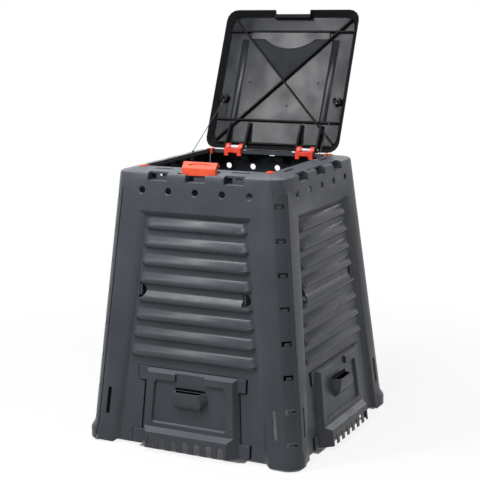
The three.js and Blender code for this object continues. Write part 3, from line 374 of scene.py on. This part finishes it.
def gloss_inside(bm):
    """Gloss on the lid's inner plate and its scoop, but not in the upper quarter between the diagonals."""
    back = LID.inverted()
    facing = back.to_3x3()
    for face in bm.faces:
        inward = (facing @ face.normal).z
        middle = back @ face.calc_center_median()
        if inward > -INWARD_SHARE or not SCOOP_LOW < middle.z < PLATE_HIGH:
            continue
        flat = middle.z > PLATE_LOW
        above = -middle.y - CROSS_ALONG
        quarter = above > 0 and abs(middle.x) < above * CROSS_SHARE and -middle.y < FRONT_RIB
        face.material_index = MATT if flat and quarter else GLOSS


def dressed(node):
    """A finished copy of a rigid node, in its own place and on its own body."""
    mesh = NODES[node].data.copy()
    mesh.name = node + "_form"
    bm = bmesh.new()
    bm.from_mesh(mesh)
    refine(bm)
    mesh.materials.clear()
    mesh.materials.append(MATERIALS[SLOT_OF[node]])
    if node == "lid":
        mesh.materials.append(MATERIALS["lid_plate"])
        mesh.materials.append(MATERIALS["lid_field"])
        gloss_inside(bm)
    bm.to_mesh(mesh)
    bm.free()
    piece = link(node + "_form", mesh)
    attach(piece, BODY_OF[node])
    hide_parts(node)


def bridge(bm, rings):
    """Closes a solid through rings of as many points each."""
    rows = [[bm.verts.new(point) for point in ring] for ring in rings]
    count = len(rows[0])
    for near, far in zip(rows, rows[1:]):
        for i in range(count):
            j = (i + 1) % count
            bm.faces.new((near[i], near[j], far[j], far[i]))
    bm.faces.new(list(reversed(rows[0])))
    bm.faces.new(rows[-1])
    bmesh.ops.recalc_face_normals(bm, faces=bm.faces)


def ring_piece(name, rings, place, slot, body, material=None, bevel=0.0, sharp=SHARP_EDGE):
    """A closed piece through rings of as many points each, laid out in the axes of place."""
    bm = bmesh.new()
    bridge(bm, [[place @ Vector(point) for point in ring] for ring in rings])
    if bevel:
        edges = [edge for edge in bm.edges if edge.calc_face_angle(0) > BEVELLED_EDGE]
        bmesh.ops.bevel(bm, geom=edges, offset=bevel, offset_type="OFFSET", segments=2, profile=0.5,
                        affect="EDGES", clamp_overlap=True)
    refine(bm, sharp)
    mesh = bpy.data.meshes.new(name)
    bm.to_mesh(mesh)
    bm.free()
    mesh.materials.append(MATERIALS[material or slot])
    piece = link(name, mesh)
    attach(piece, body)


def circle(x, y, radius, sides):
    turns = [2 * math.pi * step / sides for step in range(sides)]
    return [(x + radius * math.cos(turn), y + radius * math.sin(turn)) for turn in turns]


def level(outline, height):
    return [(x, y, height) for x, y in outline]


def rectangle(left, right, low, high):
    return ((left, low), (right, low), (right, high), (left, high))


# Small features of the lid's inner plate, in the lid's axes: x across, s from the hinge, h off the rim
LID_BODY = BODY_OF["lid"]
LID_SUNK = 0.0006
DISC_SIDES = 20
PIPS = ((-0.158, 0.293), (0.160, 0.294), (0.032, 0.1925), (-0.021, 0.404))
PIP_RINGS = ((0.0042, LID_PLATE + LID_SUNK), (0.0042, 0.0232), (0.0032, 0.0221), (0.0014, 0.0217))
PIP_SHARP = math.radians(60)
STEP_NEAR, STEP_FAR = 0.190, 0.223
STEP_START, STEP_END = 0.128, 0.485
STEP_LOW, STEP_HIGH = 0.0002, 0.0014
STEP_SPREAD = 0.004
STEP_BEVEL = 0.0003
EARS = (
    ((0.2415, 0.2205), (0.2512, 0.2332), (0.2616, 0.2087), (0.2534, 0.1940)),
    ((0.2655, 0.2150), (0.2748, 0.2328), (0.2812, 0.2190), (0.2812, 0.2014), (0.2700, 0.2000)),
)
HOOK_CENTRE = (0.2610, 0.2060)
HOOK_LOW, HOOK_HIGH = 0.0075, 0.019
HOOK_BEVEL = 0.0016
# Discs in each hook's middle: radius, high and low end, finish and bevel
DISCS = {
    "hub": (0.0075, (0.0195, 0.011), "lid", 0.0012),
    "screw": (0.0024, (0.0115, 0.0102), "pale_pin", 0.0004),
}


def lid_points(outline, height, side=1):
    return [(side * x, -s, height) for x, s in outline]


def lid_pips():
    for index, (x, s) in enumerate(PIPS):
        rings = [level(circle(x, -s, radius, DISC_SIDES), height) for radius, height in PIP_RINGS]
        ring_piece("lid_pip_%d" % index, rings, LID, "lid", LID_BODY, "lid_plate", sharp=PIP_SHARP)


def lid_step(side, label):
    """A long low step in the plate, a little higher on its outer edge."""
    near = [(STEP_NEAR, STEP_START), (STEP_NEAR + STEP_SPREAD, STEP_END)]
    far = [(STEP_FAR + STEP_SPREAD, STEP_END), (STEP_FAR, STEP_START)]
    low = lid_points(near + far, LID_PLATE + LID_SUNK, side)
    high = lid_points(near, LID_PLATE - STEP_LOW, side) + lid_points(far, LID_PLATE - STEP_HIGH, side)
    ring_piece("lid_step_" + label, [low, high], LID, "lid", LID_BODY, "lid_plate", bevel=STEP_BEVEL)


def lid_hook(side, label):
    """Two ears that hold a stay, with a hub and a screw between them."""
    for index, ear in enumerate(EARS):
        rings = [lid_points(ear, height, side) for height in (HOOK_HIGH, HOOK_LOW)]
        ring_piece("lid_hook_%s_%d" % (label, index), rings, LID, "lid", LID_BODY, bevel=HOOK_BEVEL)
    across, along = HOOK_CENTRE
    for kind, (radius, heights, slot, bevel) in DISCS.items():
        outline = circle(across * side, -along, radius, DISC_SIDES)
        rings = [level(outline, height) for height in heights]
        ring_piece("lid_%s_%s" % (kind, label), rings, LID, slot, LID_BODY, bevel=bevel)


def lid_details():
    lid_pips()
    for side, label in ((-1, "left"), (1, "right")):
        lid_step(side, label)
        lid_hook(side, label)


# The wall's skin: half width on the ground and how fast it draws in with height
WALL_BASE, WALL_TAPER = 0.460, 104 / 1073

# Painted shade: dark strips behind the walls, across the slits beside and above each hatch, so the slits
# read as shade. Depths are from the skin
STRIP_FRONT, STRIP_BACK = 0.0225, 0.0243
STRIP_OUTER = 0.268
STRIP_INNER_LOW, STRIP_INNER_HIGH = 0.216, 0.196
STRIP_LOW, STRIP_HIGH = 0.02, 0.316
TOP_STRIP_LOW, TOP_STRIP_HIGH = 0.3165, 0.334
SIDE_SHADE_STRIP = (
    (STRIP_INNER_LOW, STRIP_LOW),
    (STRIP_OUTER, STRIP_LOW),
    (STRIP_OUTER, STRIP_HIGH),
    (STRIP_INNER_HIGH, STRIP_HIGH),
)
SHADE_STRIPS = {
    "left": tuple((-x, z) for x, z in reversed(SIDE_SHADE_STRIP)),
    "right": SIDE_SHADE_STRIP,
    "top": rectangle(-STRIP_OUTER, STRIP_OUTER, TOP_STRIP_LOW, TOP_STRIP_HIGH),
}

# Painted shade: a dark sheet behind each handle's slot
HANDLE_SHADE_SHEET = rectangle(-0.086, 0.086, 0.200, 0.268)
HANDLE_FRONT, HANDLE_BACK = 0.0088, 0.0106

# Painted shade: a small dark sheet across each wall corner, behind one of its slots. Its ends are set in
# from the skin
CORNER_LOW, CORNER_HIGH = 0.312, 0.386
CORNER_ENDS = ((0.064, 0.0105), (0.0105, 0.064))
CORNER_THICKNESS = 0.002

# A low bead on the back wall's lip
LIP_OUTLINE = rectangle(-0.105, 0.105, 0.2765, 0.2805)
LIP_HEIGHTS = (1.0846, 1.0885)


def behind_wall(outline, depths):
    """An outline in a wall's plane, set back from its skin by each depth."""
    return [[(x, depth - WALL_BASE + WALL_TAPER * z, z) for x, z in outline] for depth in depths]


def corner_ring(z):
    """The four points of a corner shade sheet at one height."""
    half = WALL_BASE - WALL_TAPER * z
    near = [(half - x, -(half - y), z) for x, y in CORNER_ENDS]
    return near + [(x - CORNER_THICKNESS, y + CORNER_THICKNESS, z) for x, y, z in reversed(near)]


def shade_sheets(turn, face):
    """The dark sheets behind one wall, painted shade in its slits, handle slot and corner slot. Nothing in
    the photograph shows them.
    """
    place = Matrix.Translation((0, WALLS_Y, 0)) @ Matrix.Rotation(math.pi / 2 * turn, 4, "Z")
    wall = BODY_OF["panel_" + face]
    for label, outline in SHADE_STRIPS.items():
        rings = behind_wall(outline, (STRIP_FRONT, STRIP_BACK))
        ring_piece("shade_strip_%s_%s" % (face, label), rings, place, "lid", wall)
    rings = behind_wall(HANDLE_SHADE_SHEET, (HANDLE_FRONT, HANDLE_BACK))
    ring_piece("handle_shade_sheet_" + face, rings, place, "lid", BODY_OF["hatch_" + face])
    rings = [corner_ring(CORNER_LOW), corner_ring(CORNER_HIGH)]
    ring_piece("corner_shade_sheet_" + face, rings, place, "lid", wall)


def lip_bead():
    """A low bead on the back wall's lip, under the open lid."""
    place = Matrix.Translation((0, WALLS_Y, 0))
    rings = [level(LIP_OUTLINE, height) for height in LIP_HEIGHTS]
    ring_piece("lip_bead", rings, place, "lid", BODY_OF["panel_back"])


def centre_of(points):
    return sum(points, Vector()) / len(points)


def stay_ends(side):
    """The cord's two ends, from its own node: the lowest and the highest ring."""
    points = [vertex.co.copy() for vertex in NODES["stay_cord_" + side].data.vertices]
    low = min(point.z for point in points)
    high = max(point.z for point in points)
    first = [point for point in points if point.z < low + CORD_DIAMETER]
    last = [point for point in points if point.z > high - CORD_DIAMETER]
    return centre_of(first), centre_of(last)


def make_stay(side):
    """A taut cord from the wall to the lid, a straight tube through many rings."""
    start, end = stay_ends(side)
    path = [start.lerp(end, step / (CORD_POINTS - 1)) for step in range(CORD_POINTS)]
    along = (end - start).normalized()
    across = along.orthogonal().normalized()
    upward = along.cross(across)
    outline = circle(0, 0, CORD_DIAMETER / 2, CORD_SIDES)
    bm = bmesh.new()
    bridge(bm, [[centre + across * x + upward * y for x, y in outline] for centre in path])
    for face in bm.faces:
        face.smooth = len(face.verts) == 4
    mesh = bpy.data.meshes.new("stay_" + side)
    bm.to_mesh(mesh)
    bm.free()
    mesh.materials.append(MATERIALS["cord"])
    piece = link("stay_" + side, mesh)
    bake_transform(piece)
    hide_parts("stay_cord_" + side)


for side in ("left", "right"):
    make_stay(side)

for node in NODES:
    if not node.startswith("stay_cord"):
        dressed(node)
lid_details()
for turn, face in enumerate(FACES):
    shade_sheets(turn, face)
lip_bead()


# Floor: half its side, its depth under the ground, its colour, and its glow between two distances
FLOOR_HALF = 14
FLOOR_DEPTH = 0.0005
FLOOR_COLOUR = (0.86, 0.86, 0.87, 1)
GLOW_NEAR, GLOW_FAR = 0.86, 1.0
GLOW_START, GLOW_END = 0.7, 2.2

# The ground inside the walls: its rise over the floor, and its edges from the walls' middle
COVERED_RISE = 0.0002
COVERED_EDGE, COVERED_SKIRT = 0.446, 0.412
COVERED_HATCH, COVERED_FOOT, COVERED_TOE = 0.232, 0.35, 0.406

WORLD_LIGHT = 0.15

# Area lamps: place, width and height, and power
LAMPS = {
    "softbox": ((-1.4, -2.0, 2.8), (0.5, 2.2), 72),
    "lid_front": ((-1.0, -1.3, 2.75), (0.5, 0.5), 10),
    "front": ((0.3, -1.3, 2.6), (0.5, 0.4), 30),
    "above": ((-0.2, 0.3, 4.2), (2.0, 2.0), 24),
    "behind": ((1.4, 4.4, 2.9), (1.0, 1.0), 25),
    "right": ((3.2, 0.6, 2.4), (0.9, 1.6), 18),
}
LAMP_AIM = Vector((0, 0, 0.8))


def pale_ground(name):
    """The plain pale colour of the whole floor."""
    made = Shader(name)
    made.fix("Base Color", FLOOR_COLOUR)
    made.fix("Roughness", 0.9)
    made.fix("Specular IOR Level", 0)
    return made


def floor_material():
    """Pale floor that turns white away from the object and keeps its soft shadow near it."""
    made = pale_ground("pale_floor")
    where = made.add("ShaderNodeTexCoord")
    away = made.add("ShaderNodeVectorMath", operation="LENGTH")
    made.join(where.outputs["Object"], away.inputs[0])
    share = made.range(away.outputs["Value"], GLOW_NEAR, GLOW_FAR, GLOW_START, GLOW_END)
    shown = made.combine("MULTIPLY", share, made.seen())
    glow = made.white("ShaderNodeEmission", 1.0)
    mixed = made.blend(shown, made.surface.outputs["BSDF"], glow)
    made.join(mixed, made.output.inputs["Surface"])
    return made.material


def covered_outline():
    """The ground inside the walls and hatches, which keeps the object's whole shadow."""
    side = [
        (-COVERED_TOE, -COVERED_EDGE),
        (-COVERED_FOOT, -COVERED_EDGE),
        (-COVERED_FOOT, -COVERED_SKIRT),
        (-COVERED_HATCH, -COVERED_SKIRT),
        (-COVERED_HATCH, -COVERED_EDGE),
    ]
    side += [(-x, y) for x, y in reversed(side)]
    points = []
    for _ in range(4):
        points += [Vector((x, y + WALLS_Y, COVERED_RISE)) for x, y in side]
        side = [(-y, x) for x, y in side]
    return points


def make_stage():
    bm = bmesh.new()
    open_floor = level(rectangle(-FLOOR_HALF, FLOOR_HALF, -FLOOR_HALF, FLOOR_HALF), 0)
    bm.faces.new([bm.verts.new(point) for point in open_floor])
    covered = bm.faces.new([bm.verts.new(point) for point in covered_outline()])
    covered.material_index = 1
    mesh = bpy.data.meshes.new("floor")
    mesh.materials.append(floor_material())
    mesh.materials.append(pale_ground("covered_floor").material)
    bm.to_mesh(mesh)
    bm.free()
    floor = link("floor", mesh)
    floor.location = (0, 0, -FLOOR_DEPTH)


def make_world():
    """Soft light on the object, and plain white where the background itself is seen."""
    world = bpy.data.worlds.new("studio")
    world.use_nodes = True
    made = Nodes(world.node_tree)
    soft = made.white("ShaderNodeBackground", WORLD_LIGHT)
    white = made.white("ShaderNodeBackground", 1.0)
    output = made.add("ShaderNodeOutputWorld")
    made.join(made.blend(made.seen(), soft, white), output.inputs["Surface"])
    bpy.context.scene.world = world


def lamp(name, place, size, power):
    data = bpy.data.lights.new(name, "AREA")
    data.shape = "RECTANGLE"
    data.size, data.size_y = size
    data.energy = power
    piece = link(name, data)
    piece.location = place
    piece.rotation_euler = (LAMP_AIM - Vector(place)).to_track_quat("-Z", "Y").to_euler()


make_stage()
make_world()
for name, (place, size, power) in LAMPS.items():
    lamp(name, place, size, power)

scene = bpy.context.scene
scene.view_settings.view_transform = "Standard"
